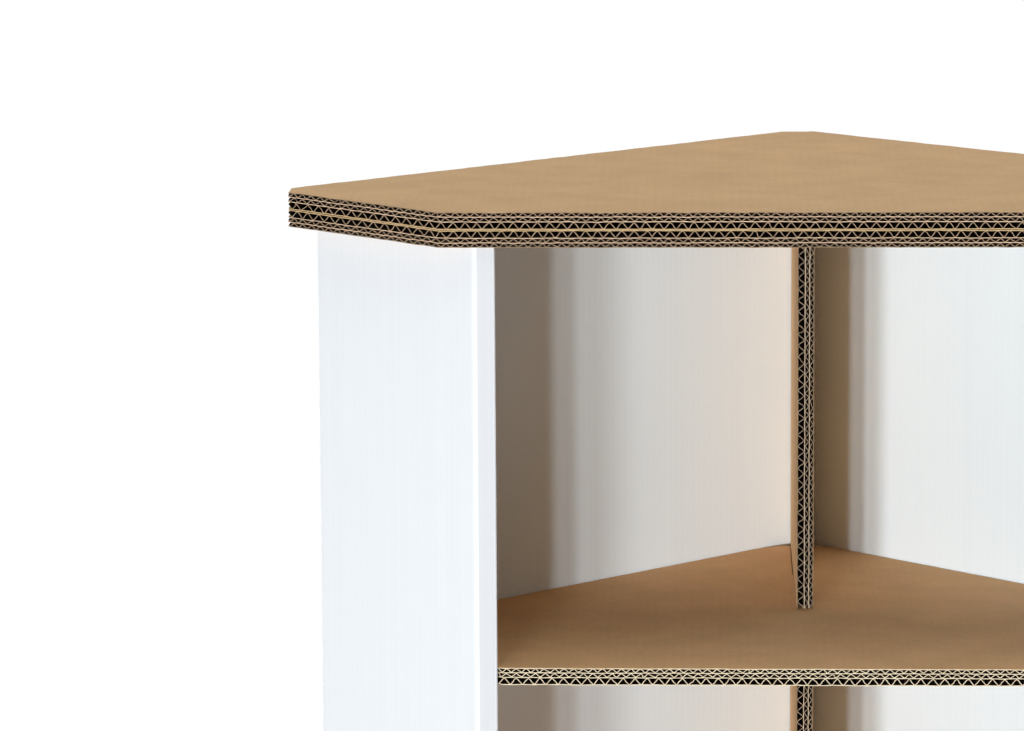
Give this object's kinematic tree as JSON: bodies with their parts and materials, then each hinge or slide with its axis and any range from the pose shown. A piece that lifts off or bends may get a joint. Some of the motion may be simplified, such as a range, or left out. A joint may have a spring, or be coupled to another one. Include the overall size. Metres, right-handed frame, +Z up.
{
  "type": "cardboard counter",
  "caption": "Corner sales counter of corrugated cardboard: folded white wall open at the front, double top, divider and shelves inside.",
  "frame": {"origin": "bottom centre of the bounding box, on the floor", "axes": "+Z up, +X along the front edge to the right, the open front (seller's side) faces -Y"},
  "size_m": [0.799, 0.5354, 1.0275],
  "materials": {
    "kraft_board": "matt unbleached kraft paper, open flutes at the cut edges",
    "white_board": "matt white paper with faint vertical flute lines"
  },
  "bodies": {
    "root": {"wall": "white_board", "base_board": "kraft_board", "lower_shelf": "kraft_board", "upper_shelf": "kraft_board", "divider": "kraft_board", "top_board_lower": "kraft_board", "top_board_upper": "kraft_board"}
  },
  "joints": []
}
